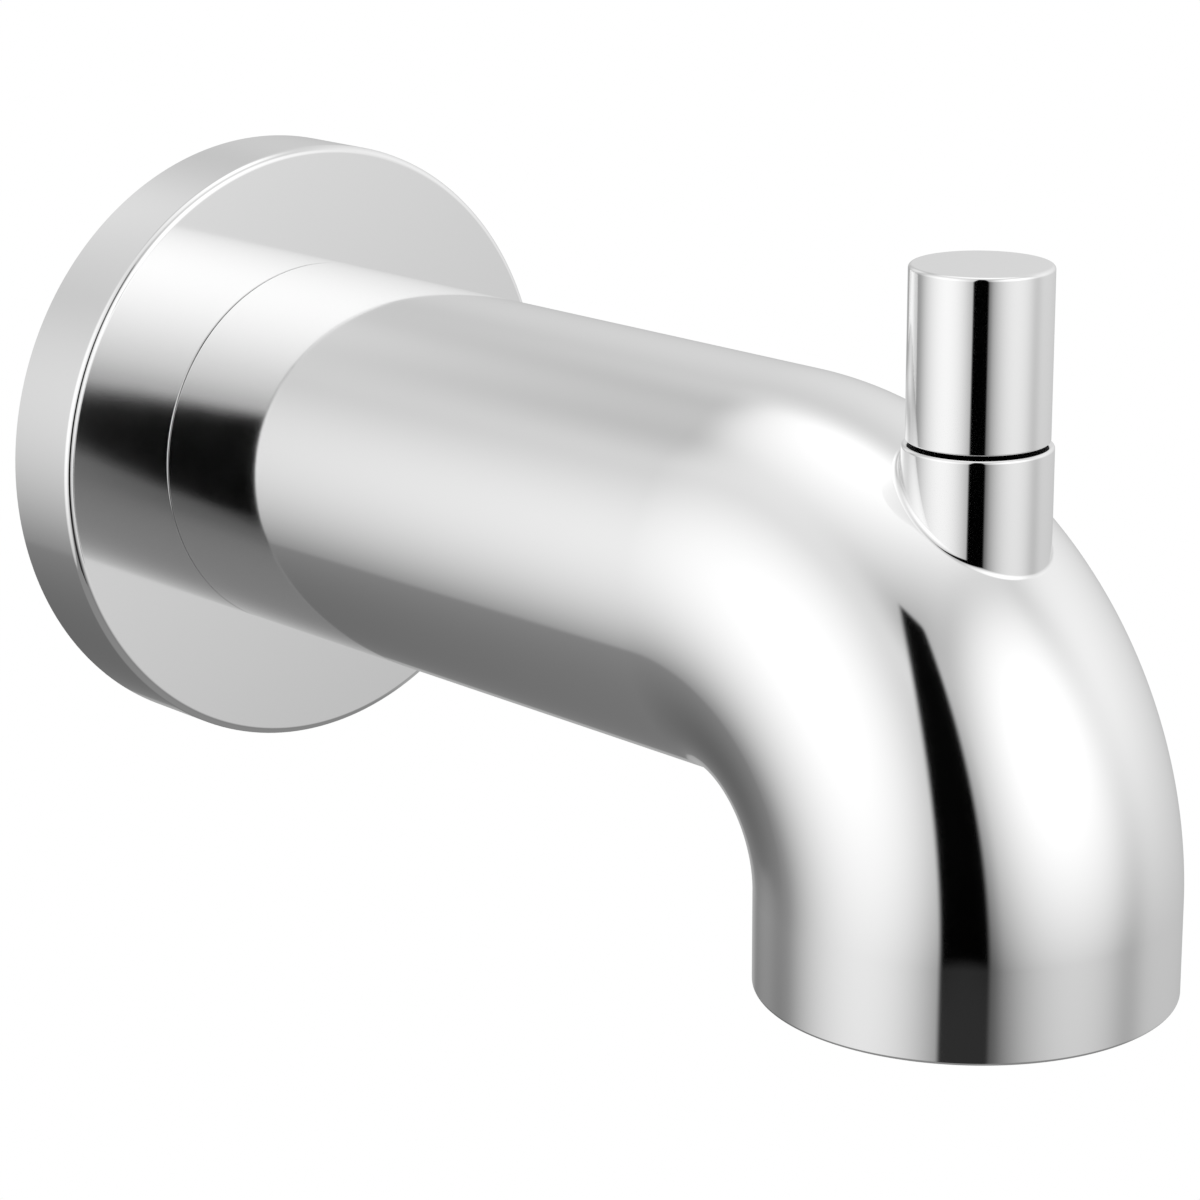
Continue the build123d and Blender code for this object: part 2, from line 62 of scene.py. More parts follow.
# Sizes that the solids give
BODY_LOW, BODY_HIGH = box_mm("spout_body")
FLANGE_LOW, FLANGE_HIGH = box_mm("wall_flange")
KNOB_BOX_LOW, KNOB_BOX_HIGH = box_mm("diverter_knob")
BUSH_BOX_LOW, BUSH_BOX_HIGH = box_mm("stem_bush")
SCREW_BOX_LOW, SCREW_BOX_HIGH = box_mm("set_screw")
TUBE_R = BODY_HIGH[0]
REACH = -BODY_LOW[1] - TUBE_R
OUTLET_Z = BODY_LOW[2]
COLLAR_TOP = KNOB_BOX_LOW[2]
SPIGOT_END = -BODY_HIGH[1]
FLANGE_R = FLANGE_HIGH[0]
FLANGE_DEPTH = -FLANGE_LOW[1]
KNOB_R = KNOB_BOX_HIGH[0]
KNOB_TOP = KNOB_BOX_HIGH[2]
BUSH_R = BUSH_BOX_HIGH[0]
BUSH_LOW = BUSH_BOX_LOW[2]
KEY_HOLE_STATION = -(SCREW_BOX_LOW[1] + SCREW_BOX_HIGH[1]) / 2

# Cast body
BEND_R = 32.75             # radius of the bend, at the tube's axis
CAST_WALL = 3.6
SOCKET_STEP = 0.8          # both ends are bored out by this much
SPIGOT_STEP = 1.0          # the end that carries the flange is turned down by this much
SEAM_EDGE_R = 0.25
SEAM_DEEP = math.radians(46)  # the part of that round which lies deep in the seam and carries painted shade
OUTLET_EDGE_R = 0.4
OUTLET_CHAMFER = 0.5
ADAPTER_SEAT = 48.0        # wall to the shoulder behind the pipe adapter
CLIP_BITE = 0.9            # depth of the circlip grooves
CLIP_EASE = 0.05
KEY_HOLE_R = 3.2
COLLAR_R = 8.8
COLLAR_EDGE_R = 0.4
COLLAR_ROOT_R = 0.85       # round where the collar grows out of the bend
SLIP_FIT = 0.1
SEAL_BORE_R = 4.56         # room for the stem's seal
SEAL_BORE_DEPTH = 2.4
STEM_HOLE_R = 2.8
BOSS_FLOOR = 3.6           # metal below the stem's seal
CAST_R = TUBE_R - CAST_WALL
SOCKET_R = CAST_R + SOCKET_STEP
SPIGOT_R = TUBE_R - SPIGOT_STEP
SEAL_BORE_LOW = BUSH_LOW - SEAL_BORE_DEPTH
BOSS_LOW = SEAL_BORE_LOW - BOSS_FLOOR

# Wall flange
FLANGE_HUB = 3.4           # wall of the hub
FLANGE_HUB_INSET = 2.0     # the hub stops this far short of the wall
FLANGE_RIM = 4.5
FLANGE_PLATE = 3.0
FLANGE_EDGE_R = 1.0
RING_GROOVE_DEPTH = 1.96   # room for the flange's seal, out from the spigot
RING_GROOVE_NEAR = 6.05
RING_GROOVE_FAR = 8.35
GASKET_HALF = 1.1
GASKET_DEPTH = 1.5
FLANGE_BORE_R = SPIGOT_R + SLIP_FIT
FLANGE_HUB_R = FLANGE_BORE_R + FLANGE_HUB
FLANGE_RIM_R = FLANGE_R - FLANGE_RIM
FLANGE_PLATE_BACK = FLANGE_DEPTH - FLANGE_PLATE
RING_GROOVE_R = SPIGOT_R + RING_GROOVE_DEPTH
GASKET_R = (FLANGE_RIM_R + FLANGE_R) / 2

# Diverter knob
KNOB_GAP = 0.44            # open gap between the knob and the collar
KNOB_TOP_R = 0.5
KNOB_LOW_R = 0.2
KNOB_FOOT_R = 4.6
STEM_BORE_R = 2.55
STEM_BORE_DEPTH = 1.3
STUD_BORE_R = 2.05
STUD_BORE_DEPTH = 10.4
KNOB_LOW = COLLAR_TOP + KNOB_GAP
STEM_BORE_TOP = KNOB_LOW + STEM_BORE_DEPTH
STUD_BORE_TOP = STEM_BORE_TOP + STUD_BORE_DEPTH

# Fineness of the surfaces
ROUND_STEPS = 192          # steps round the tube
BEND_STEPS = 96            # steps round the quarter bend
KNOB_STEPS = 160           # steps round the knob
EDGE_STEPS = 6             # steps over a small round
WINDOW_STEPS = 12          # steps from a hole out to the edge of its window
COLLAR_WINDOW = (14, 62)   # window in the bend round the collar, in steps of the bend
COLLAR_WINDOW_HALF = 18    # half its width, in steps round the tube
KEY_WINDOW_HALF = 5.5      # half the length of the window round the key hole
KEY_WINDOW_STEPS = 12
KEY_WINDOW_HALF_WIDTH = 7  # half its width, in steps round the tube
WELD = 1e-4                # points closer than this become one
HALVINGS = 60              # steps of a search by halving

# Worked-out places along the tube's axis
BEND_START = REACH - BEND_R
BEND_END = BEND_START + BEND_R * math.pi / 2
OUTLET_END = BEND_END - BEND_R - OUTLET_Z
TOP_STEP = ROUND_STEPS // 4
UNDER_STEP = 3 * ROUND_STEPS // 4

# Numbers of a piece's materials: bright chrome, plain casting, and near-black painted shade
BRIGHT, PLAIN, PAINTED_SHADE = 0, 1, 2

ACROSS = np.array([1.0, 0, 0])
UP = np.array([0, 0, 1.0])


def spout_axis(station):
    """Middle of the tube at a distance along its axis, and the directions out from the bend and onwards.
    The axis leaves the wall straight, turns down through a quarter circle and ends in a straight drop."""
    turn = np.clip((station - BEND_START) / BEND_R, 0, math.pi / 2)
    none = np.zeros_like(turn)
    outwards = np.stack([none, -np.sin(turn), np.cos(turn)], -1)
    onwards = np.stack([none, -np.cos(turn), -np.sin(turn)], -1)
    run = np.minimum(station, BEND_START)
    drop = np.maximum(station - BEND_END, 0)
    middle = np.stack([none, -run, -BEND_R - drop], -1) + BEND_R * outwards
    return middle, outwards, onwards


def on_tube(radius, station, angle, normal=(1, 0)):
    """Points at a radius from the tube's axis: middle + radius (cos angle X + sin angle outwards).
    The normal is given as its parts away from the axis and along it."""
    middle, outwards, onwards = spout_axis(station)
    away = np.cos(angle)[..., None] * ACROSS + np.sin(angle)[..., None] * outwards
    points = middle + np.asarray(radius)[..., None] * away
    normals = np.asarray(normal[0])[..., None] * away + np.asarray(normal[1])[..., None] * onwards
    return points, normals


def on_post(radius, height, angle, normal=(1, 0)):
    """Points at a radius from the upright axis of the outlet, collar and knob, at a height.
    The normal is given as its parts away from the axis and upwards."""
    away = np.stack([np.cos(angle), np.sin(angle), np.zeros_like(angle)], -1)
    foot = np.array([0, -REACH, 0])
    points = foot + np.asarray(radius)[..., None] * away + np.asarray(height)[..., None] * UP
    normals = np.asarray(normal[0])[..., None] * away + np.asarray(normal[1])[..., None] * UP
    return points, normals


def cells(rows, columns, closed=True):
    """Corner numbers of each cell of a grid of points. A closed grid joins its last column to its first."""
    row = np.arange(rows - 1)[:, None] * columns
    here = np.arange(columns if closed else columns - 1)[None, :]
    there = (here + 1) % columns
    return np.stack([row + here, row + there, row + columns + there, row + columns + here], -1)


def patch(surface, faces, finish):
    """One smooth stretch of a piece: its points, its normals and faces that look along those normals."""
    points, normals = (part.reshape(-1, 3) for part in np.broadcast_arrays(*surface))
    faces = faces.reshape(-1, 4)
    corner = points[faces]
    looks = np.cross(corner[:, 2] - corner[:, 0], corner[:, 3] - corner[:, 1])
    inwards = (looks * normals[faces].sum(1)).sum(1) < 0
    return points, normals, np.where(inwards[:, None], faces[:, ::-1], faces), finish


def full_turn(steps):
    """Angles of evenly spaced steps round a circle."""
    return np.arange(steps) * 2 * math.pi / steps


def outline_runs(corners):
    """Straight and round runs of a closed outline, as points and normals.
    A corner is its radius, its station, its round and the finish of what follows. The metal lies to the left
    of the way round, so each run's normal points to its right."""
    place = np.array([corner[:2] for corner in corners], float)
    onward = np.roll(place, -1, 0) - place
    onward /= np.linalg.norm(onward, axis=1, keepdims=True)
    right = np.stack([onward[:, 1], -onward[:, 0]], -1)
    before, before_right = np.roll(onward, 1, 0), np.roll(right, 1, 0)
    sine = before[:, 0] * onward[:, 1] - before[:, 1] * onward[:, 0]
    turn = np.arctan2(sine, (before * onward).sum(1))
    rounds = np.array([corner[2] for corner in corners], float)
    cut = rounds * np.tan(np.abs(turn) / 2)
    runs = []
    for i, corner in enumerate(corners):
        j = (i + 1) % len(corners)
        if rounds[i] > 0:
            part = np.linspace(0, turn[i], EDGE_STEPS + 1)[:, None]
            way = np.cos(part) * before_right[i] + np.sin(part) * before[i]
            middle = place[i] - cut[i] * before[i] - np.sign(turn[i]) * rounds[i] * before_right[i]
            runs.append((middle + np.sign(turn[i]) * rounds[i] * way, way, corner[3]))
        ends = np.stack([place[i] + cut[i] * onward[i], place[j] - cut[j] * onward[i]])
        runs.append((ends, np.stack([right[i], right[i]]), corner[3]))
    return runs


def turned_runs(runs, carrier, angle):
    """Patches of runs that are carried round an axis, at the given angles."""
    patches = []
    for points, normals, finish in runs:
        surface = carrier(points[:, :1], points[:, 1:], angle[None, :], (normals[:, :1], normals[:, 1:]))
        patches.append(patch(surface, cells(len(points), len(angle)), finish))
    return patches


def window_edge(rows, columns):
    """Row and column numbers round the edge of a window in a grid: down, across, up and back."""
    down = np.arange(rows[0], rows[1])
    over = np.arange(columns[0], columns[1])
    low, high = np.full(len(over), rows[0]), np.full(len(over), rows[1])
    left, right = np.full(len(down), columns[0]), np.full(len(down), columns[1])
    row = np.concatenate([down, high, rows[1] - (down - rows[0]), low])
    column = np.concatenate([left, over, right, columns[1] - (over - columns[0])])
    return row, column


def hole_angles(rows, columns, start, way):
    """Angles round a hole that go with the edge of its window: a quarter turn for each side of the window."""
    counts = (rows[1] - rows[0], columns[1] - columns[0]) * 2
    quarter = [(side + np.arange(count) / count) * math.pi / 2 for side, count in enumerate(counts)]
    return start + way * np.concatenate(quarter)


def tube_wall(radius, stations, outwards, finish, windows=()):
    """Wall of the tube at one radius, with a window left open round each hole and a fan of cells from the
    window in to the hole's edge.
    A window is its rows, its columns, and the station and angle of each point of the hole's edge."""
    side = 1 if outwards else -1
    angle = full_turn(ROUND_STEPS)
    faces = cells(len(stations), ROUND_STEPS)
    keep = np.ones(faces.shape[:2], bool)
    patches = []
    for rows, columns, hole_station, hole_angle in windows:
        keep[rows[0]:rows[1], columns[0]:columns[1]] = False
        row, column = window_edge(rows, columns)
        share = np.linspace(0, 1, WINDOW_STEPS + 1)[:, None]
        station = hole_station + (stations[row] - hole_station) * share
        round_tube = hole_angle + (angle[column] - hole_angle) * share
        surface = on_tube(radius + 0 * station, station, round_tube, (side + 0 * station, 0 * station))
        patches.append(patch(surface, cells(WINDOW_STEPS + 1, len(row)), finish))
    station, round_tube = np.meshgrid(stations, angle, indexing="ij")
    surface = on_tube(radius + 0 * station, station, round_tube, (side + 0 * station, 0 * station))
    patches.append(patch(surface, faces[keep], finish))
    return patches


def over_bend(x, y, radius):
    """Station and angle at which an upright line meets the top of the bend, at a radius from its axis.
    Across the tube x = radius cos angle, and along the bend y follows from the sine of the turn."""
    angle = np.arccos(x / radius)
    turn = np.arcsin((-y - BEND_START) / (BEND_R + radius * np.sin(angle)))
    return BEND_START + BEND_R * turn, angle


def under_tube(x, y, radius):
    """Station and angle at which an upright line meets the underside of the straight tube."""
    return -y, 2 * math.pi - np.arccos(x / radius)


def boss_radius(angle):
    """Radius of the boss's flat foot: the collar's, or less in front, where the bore comes down to the foot.
    The bore's height over the middle of the bend is sqrt((BEND_R + sqrt(CAST_R^2 - x^2))^2 - y^2), and the
    radius at which that is the foot's height is found by halving."""
    inner, outer = np.zeros_like(angle), np.full_like(angle, COLLAR_R)
    for _ in range(HALVINGS):
        radius = (inner + outer) / 2
        x, y = radius * np.cos(angle), BEND_R - radius * np.sin(angle)
        bore = np.sqrt((BEND_R + np.sqrt(CAST_R ** 2 - x ** 2)) ** 2 - y ** 2) - BEND_R
        inner, outer = np.where(bore > BOSS_LOW, radius, inner), np.where(bore > BOSS_LOW, outer, radius)
    return outer


def collar_root(angle, station, round_tube):
    """Round where the collar grows out of the bend, and the height at which it ends on the collar.
    It is the path of a ball that touches both: the ball's middle lies on both surfaces set out by its radius,
    and each arc turns from one touching point to the other."""
    middle, away = on_tube(TUBE_R + COLLAR_ROOT_R + 0 * angle, station, round_tube)
    flat = np.stack([np.cos(angle), np.sin(angle), 0 * angle], -1)
    bend = np.arccos((flat * away).sum(-1))[:, None]
    share = np.linspace(0, 1, 2 * EDGE_STEPS + 1)[:, None, None]
    way = (np.sin((1 - share) * bend) * flat + np.sin(share * bend) * away) / np.sin(bend)
    return patch((middle - COLLAR_ROOT_R * way, way), cells(len(share), len(angle)), BRIGHT), middle[:, 2]


def collar_patches(angle, root, foot, boss):
    """Collar for the knob, from the round at its foot over its top, down its bores and up the boss inside.
    The root and the boss are given by the stations and angles where they meet the bend and its bore."""
    root_patch, root_top = collar_root(angle, *root)
    ends = np.stack([root_top, np.full_like(angle, COLLAR_TOP - COLLAR_EDGE_R)])
    wall = on_post(np.full_like(ends, COLLAR_R), ends, angle + 0 * ends)
    patches = [root_patch, patch(wall, cells(2, len(angle)), BRIGHT)]
    bush_bore = BUSH_R + SLIP_FIT
    runs = outline_runs([
        (COLLAR_R, BOSS_LOW, 0, PLAIN), (COLLAR_R, COLLAR_TOP, COLLAR_EDGE_R, BRIGHT),
        (bush_bore, COLLAR_TOP, 0, PLAIN), (bush_bore, BUSH_LOW, 0, PLAIN),
        (SEAL_BORE_R, BUSH_LOW, 0, PLAIN), (SEAL_BORE_R, SEAL_BORE_LOW, 0, PLAIN),
        (STEM_HOLE_R, SEAL_BORE_LOW, 0, PLAIN), (STEM_HOLE_R, BOSS_LOW, 0, PLAIN),
    ])
    patches += turned_runs(runs[1:-1], on_post, angle)
    ends = np.stack([np.full_like(angle, STEM_HOLE_R), foot])
    under = on_post(ends, np.full_like(ends, BOSS_LOW), angle + 0 * ends, (0 * ends, 0 * ends - 1))
    patches.append(patch(under, cells(2, len(angle)), PLAIN))
    boss_top = on_tube(np.full_like(angle, CAST_R), *boss)[0][:, 2]
    ends = np.stack([np.full_like(angle, BOSS_LOW), np.maximum(boss_top, BOSS_LOW)])
    boss_wall = on_post(foot + 0 * ends, ends, angle + 0 * ends)
    patches.append(patch(boss_wall, cells(2, len(angle)), PLAIN))
    return patches


def key_hole_patch(angle):
    """Wall of the hole for the key, from the outside of the tube up to its bore."""
    x = KEY_HOLE_R * np.cos(angle)
    y = -KEY_HOLE_STATION + KEY_HOLE_R * np.sin(angle)
    low, high = (-np.sqrt(radius ** 2 - x ** 2) for radius in (TUBE_R, SOCKET_R))
    points = np.stack([np.stack([x, y, low], -1), np.stack([x, y, high], -1)])
    normals = np.stack([-np.cos(angle), -np.sin(angle), 0 * angle], -1) + 0 * points
    return patch((points, normals), cells(2, len(angle)), PLAIN)


def clip_groove(node, axis):
    """Both edges of the groove round a circlip, along an axis of the frame."""
    low, high = box_mm(node)
    return low[axis] - CLIP_EASE, high[axis] + CLIP_EASE


def tube_ends(groove_far, groove_near):
    """Outlet with its circlip groove, shoulder and groove of the adapter, and turned end under the flange.
    The round at the seam is one arc in two parts, whose corners lie where the tangents at their ends meet."""
    groove_r = SOCKET_R + CLIP_BITE
    low, high = (BEND_END - BEND_R - edge for edge in clip_groove("outlet_circlip", 2))
    seam_r = TUBE_R - SEAM_EDGE_R * (1 - math.tan(SEAM_DEEP / 2))
    seam_station = FLANGE_DEPTH + SEAM_EDGE_R * (1 - math.tan(math.pi / 4 - SEAM_DEEP / 2))
    outlet = outline_runs([
        (TUBE_R, OUTLET_END - 2 * OUTLET_EDGE_R, 0, BRIGHT), (TUBE_R, OUTLET_END, OUTLET_EDGE_R, BRIGHT),
        (SOCKET_R + OUTLET_CHAMFER, OUTLET_END, 0, PLAIN), (SOCKET_R, OUTLET_END - OUTLET_CHAMFER, 0, PLAIN),
        (SOCKET_R, low, 0, PLAIN), (groove_r, low, 0, PLAIN),
        (groove_r, high, 0, PLAIN), (SOCKET_R, high, 0, PLAIN),
        (SOCKET_R, BEND_END, 0, PLAIN), (CAST_R, BEND_END, 0, PLAIN),
    ])
    shoulder = outline_runs([
        (CAST_R, ADAPTER_SEAT, 0, PLAIN), (SOCKET_R, ADAPTER_SEAT, 0, PLAIN),
        (SOCKET_R, groove_far, 0, PLAIN), (groove_r, groove_far, 0, PLAIN),
        (groove_r, groove_near, 0, PLAIN), (SOCKET_R, groove_near, 0, PLAIN),
    ])
    # The face against the flange and the deep part of the seam's round carry painted shade, a dark line in
    # the seam
    spigot = outline_runs([
        (SOCKET_R, SPIGOT_END, 0, PLAIN), (SPIGOT_R, SPIGOT_END, 0, PLAIN),
        (SPIGOT_R, FLANGE_DEPTH, 0, PAINTED_SHADE), (seam_r, FLANGE_DEPTH, SEAM_EDGE_R, PAINTED_SHADE),
        (TUBE_R, seam_station, SEAM_EDGE_R, BRIGHT), (TUBE_R, FLANGE_DEPTH + 2 * SEAM_EDGE_R, 0, BRIGHT),
    ])
    return turned_runs(outlet[1:-1] + shoulder[:-1] + spigot[:-2], on_tube, full_turn(ROUND_STEPS))


def spout_body_patches():
    """Cast tube: walls carried along the spout's axis, with a collar through its top and a key hole below."""
    bend = np.linspace(BEND_START, BEND_END, BEND_STEPS + 1)
    key = KEY_HOLE_STATION + np.linspace(-KEY_WINDOW_HALF, KEY_WINDOW_HALF, KEY_WINDOW_STEPS + 1)
    outer = np.concatenate([[FLANGE_DEPTH + SEAM_EDGE_R], key, bend, [OUTLET_END - OUTLET_EDGE_R]])
    cast = np.concatenate([[ADAPTER_SEAT], bend])
    groove_far, groove_near = (-edge for edge in clip_groove("adapter_circlip", 1))
    socket = np.concatenate([[SPIGOT_END], key, [groove_near]])

    columns = (TOP_STEP - COLLAR_WINDOW_HALF, TOP_STEP + COLLAR_WINDOW_HALF)
    angle = hole_angles(COLLAR_WINDOW, columns, math.pi / 4, -1)
    set_out = COLLAR_R + COLLAR_ROOT_R
    root = over_bend(set_out * np.cos(angle), set_out * np.sin(angle) - REACH, TUBE_R + COLLAR_ROOT_R)
    foot = boss_radius(angle)
    boss = over_bend(foot * np.cos(angle), foot * np.sin(angle) - REACH, CAST_R)
    first = 1 + len(key)
    outer_rows = (first + COLLAR_WINDOW[0], first + COLLAR_WINDOW[1])
    cast_rows = (1 + COLLAR_WINDOW[0], 1 + COLLAR_WINDOW[1])

    key_rows = (1, 1 + KEY_WINDOW_STEPS)
    key_columns = (UNDER_STEP - KEY_WINDOW_HALF_WIDTH, UNDER_STEP + KEY_WINDOW_HALF_WIDTH)
    key_angle = hole_angles(key_rows, key_columns, 3 * math.pi / 4, 1)
    key_x = KEY_HOLE_R * np.cos(key_angle)
    key_y = KEY_HOLE_R * np.sin(key_angle) - KEY_HOLE_STATION
    outer_key = (key_rows, key_columns, *under_tube(key_x, key_y, TUBE_R))
    socket_key = (key_rows, key_columns, *under_tube(key_x, key_y, SOCKET_R))

    patches = tube_wall(TUBE_R, outer, True, BRIGHT, [(outer_rows, columns, *root), outer_key])
    patches += tube_wall(CAST_R, cast, False, PLAIN, [(cast_rows, columns, *boss)])
    patches += tube_wall(SOCKET_R, socket, False, PLAIN, [socket_key])
    patches += collar_patches(angle, root, foot, boss)
    patches.append(key_hole_patch(key_angle))
    return patches + tube_ends(groove_far, groove_near)


def flange_patches():
    """Round cup: front plate, rim with a rounded front edge, hub with its seal groove, and gasket groove."""
    gasket_in, gasket_out = GASKET_R - GASKET_HALF, GASKET_R + GASKET_HALF
    runs = outline_runs([
        (FLANGE_R, 0, 0, BRIGHT), (FLANGE_R, FLANGE_DEPTH, FLANGE_EDGE_R, BRIGHT),
        (FLANGE_BORE_R, FLANGE_DEPTH, 0, PLAIN), (FLANGE_BORE_R, RING_GROOVE_FAR, 0, PLAIN),
        (RING_GROOVE_R, RING_GROOVE_FAR, 0, PLAIN), (RING_GROOVE_R, RING_GROOVE_NEAR, 0, PLAIN),
        (FLANGE_BORE_R, RING_GROOVE_NEAR, 0, PLAIN), (FLANGE_BORE_R, FLANGE_HUB_INSET, 0, PLAIN),
        (FLANGE_HUB_R, FLANGE_HUB_INSET, 0, PLAIN), (FLANGE_HUB_R, FLANGE_PLATE_BACK, 0, PLAIN),
        (FLANGE_RIM_R, FLANGE_PLATE_BACK, 0, PLAIN), (FLANGE_RIM_R, 0, 0, PLAIN),
        (gasket_in, 0, 0, PLAIN), (gasket_in, GASKET_DEPTH, 0, PLAIN),
        (gasket_out, GASKET_DEPTH, 0, PLAIN), (gasket_out, 0, 0, PLAIN),
    ])
    return turned_runs(runs, on_tube, full_turn(ROUND_STEPS))


def knob_patches():
    """Round knob with softened edges, a foot below it and a stepped bore for the stem."""
    # The knob's foot and underside carry painted shade, so that the gap above the collar reads dark
    runs = outline_runs([
        (KNOB_R, KNOB_LOW, KNOB_LOW_R, BRIGHT), (KNOB_R, KNOB_TOP, KNOB_TOP_R, BRIGHT),
        (0, KNOB_TOP, 0, PLAIN), (0, STUD_BORE_TOP, 0, PLAIN),
        (STUD_BORE_R, STUD_BORE_TOP, 0, PLAIN), (STUD_BORE_R, STEM_BORE_TOP, 0, PLAIN),
        (STEM_BORE_R, STEM_BORE_TOP, 0, PLAIN), (STEM_BORE_R, COLLAR_TOP, 0, PAINTED_SHADE),
        (KNOB_FOOT_R, COLLAR_TOP, 0, PAINTED_SHADE), (KNOB_FOOT_R, KNOB_LOW, 0, PAINTED_SHADE),
    ])
    return turned_runs(runs, on_post, full_turn(KNOB_STEPS))


def make_piece(name, patches, materials):
    """Joins patches into one mesh. Points that meet become one, cells that shrink to a line are dropped, and
    each corner keeps the normal of its own patch."""
    first = np.cumsum([0] + [len(part[0]) for part in patches])
    points = np.concatenate([part[0] for part in patches])
    normals = np.concatenate([part[1] for part in patches])
    faces = np.concatenate([part[2] + start for part, start in zip(patches, first)])
    finish = np.concatenate([np.full(len(part[2]), part[3]) for part in patches])
    spots = np.round(points / WELD).astype(np.int64)
    _, keep, joined = np.unique(spots, axis=0, return_index=True, return_inverse=True)
    joined = joined.reshape(-1)
    corner = joined[faces]
    meets = corner == np.roll(corner, -1, 1)
    whole = ~meets.any(1)
    three = meets.sum(1) == 1
    rows = [faces[whole], faces[three][~meets[three]].reshape(-1, 3)]
    corners = [row for part in rows for row in joined[part].tolist()]
    finishes = np.concatenate([finish[whole], finish[three]])
    mesh = bpy.data.meshes.new(name)
    mesh.from_pydata((points[keep] * MM).tolist(), [], corners)
    mesh.polygons.foreach_set("material_index", finishes.astype(np.int32))
    mesh.polygons.foreach_set("use_smooth", np.ones(len(mesh.polygons), bool))
    for material in materials:
        mesh.materials.append(material)
    mesh.normals_split_custom_set(np.concatenate([normals[part].reshape(-1, 3) for part in rows]).tolist())
    piece = bpy.data.objects.new(name, mesh)
    bpy.context.scene.collection.objects.link(piece)
    return piece


def linear(hex_colour):
    """Linear colour, with alpha, of an sRGB hex value."""
    srgb = np.array([int(hex_colour[i:i + 2], 16) for i in (0, 2, 4)]) / 255
    return (*np.where(srgb <= 0.04045, srgb / 12.92, ((srgb + 0.055) / 1.055) ** 2.4), 1.0)


def add(tree, kind, inputs=None, **settings):
    """Adds a node with its settings, and sets each named input or links it to another node's output."""
    node = tree.nodes.new(kind)
    for name, value in settings.items():
        setattr(node, name, value)
    for name, value in (inputs or {}).items():
        if isinstance(value, bpy.types.NodeSocket):
            tree.links.new(value, node.inputs[name])
        else:
            node.inputs[name].default_value = value
    return node


WHITE = (1.0, 1.0, 1.0, 1.0)
WAVE_LENGTH = math.pi / 10  # a wave pattern of scale 1 repeats after this length, in metres


def per_mm(size):
    """Scale of a pattern whose features are this many millimetres across."""
    return 1 / (size * MM)


def new_material(name):
    """Empty material and its node tree."""
    material = bpy.data.materials.new(name)
    material.use_nodes = True
    material.node_tree.nodes.clear()
    return material, material.node_tree


def polished_chrome():
    """Chrome plate on a buffed casting: a clear, neutral mirror.
    Buffing leaves very shallow waves that soften the edges of what it mirrors, and a breath of haze."""
    material, tree = new_material("polished_chrome_plate")
    place = add(tree, "ShaderNodeTexCoord").outputs["Object"]
    waves = add(tree, "ShaderNodeTexNoise", {"Vector": place, "Scale": per_mm(14), "Detail": 1.0})
    bump = add(tree, "ShaderNodeBump", {
        "Height": waves.outputs["Fac"], "Strength": 1.0, "Distance": 0.004 * MM,
    })
    haze = add(tree, "ShaderNodeTexNoise", {"Vector": place, "Scale": per_mm(5), "Detail": 4.0})
    gloss = add(tree, "ShaderNodeMapRange", {"Value": haze.outputs["Fac"], "To Min": 0.05, "To Max": 0.075})
    shader = add(tree, "ShaderNodeBsdfPrincipled", {
        "Base Color": linear("F3F3F3"), "Metallic": 1.0, "Roughness": gloss.outputs["Result"],
        "Normal": bump.outputs["Normal"],
    })
    add(tree, "ShaderNodeOutputMaterial", {"Surface": shader.outputs["BSDF"]})
    return material


def plain_casting():
    """Inside of the casting, which the polishing never reaches: thin grey plate over a fine sandy skin."""
    material, tree = new_material("thin_plate_on_casting")
    place = add(tree, "ShaderNodeTexCoord").outputs["Object"]
    skin = add(tree, "ShaderNodeTexNoise", {
        "Vector": place, "Scale": per_mm(0.5), "Detail": 6.0, "Roughness": 0.6,
    })
    bump = add(tree, "ShaderNodeBump", {
        "Height": skin.outputs["Fac"], "Strength": 0.6, "Distance": 0.08 * MM,
    })
    cloud = add(tree, "ShaderNodeTexNoise", {"Vector": place, "Scale": per_mm(8), "Detail": 3.0})
    tone = add(tree, "ShaderNodeMix", {
        "Factor": cloud.outputs["Fac"], "A": linear("A9AAAA"), "B": linear("C6C7C6"),
    }, data_type="RGBA")
    gloss = add(tree, "ShaderNodeMapRange", {"Value": cloud.outputs["Fac"], "To Min": 0.34, "To Max": 0.52})
    shader = add(tree, "ShaderNodeBsdfPrincipled", {
        "Base Color": tone.outputs["Result"], "Metallic": 1.0, "Roughness": gloss.outputs["Result"],
        "Normal": bump.outputs["Normal"],
    })
    add(tree, "ShaderNodeOutputMaterial", {"Surface": shader.outputs["BSDF"]})
    return material


def painted_shade_plate():
    """Painted shade on the faces under the knob and deep in the flange's seam: dull and nearly black with a
    faint cloud, so that the gap and the seam read as dark lines."""
    material, tree = new_material("painted_shade_plate")
    place = add(tree, "ShaderNodeTexCoord").outputs["Object"]
    cloud = add(tree, "ShaderNodeTexNoise", {"Vector": place, "Scale": per_mm(2), "Detail": 4.0})
    tone = add(tree, "ShaderNodeMix", {
        "Factor": cloud.outputs["Fac"], "A": linear("1B1B1B"), "B": linear("2A2A2A"),
    }, data_type="RGBA")
    gloss = add(tree, "ShaderNodeMapRange", {"Value": cloud.outputs["Fac"], "To Min": 0.55, "To Max": 0.7})
    shader = add(tree, "ShaderNodeBsdfPrincipled", {
        "Base Color": tone.outputs["Result"], "Metallic": 1.0, "Roughness": gloss.outputs["Result"],
    })
    add(tree, "ShaderNodeOutputMaterial", {"Surface": shader.outputs["BSDF"]})
    return material


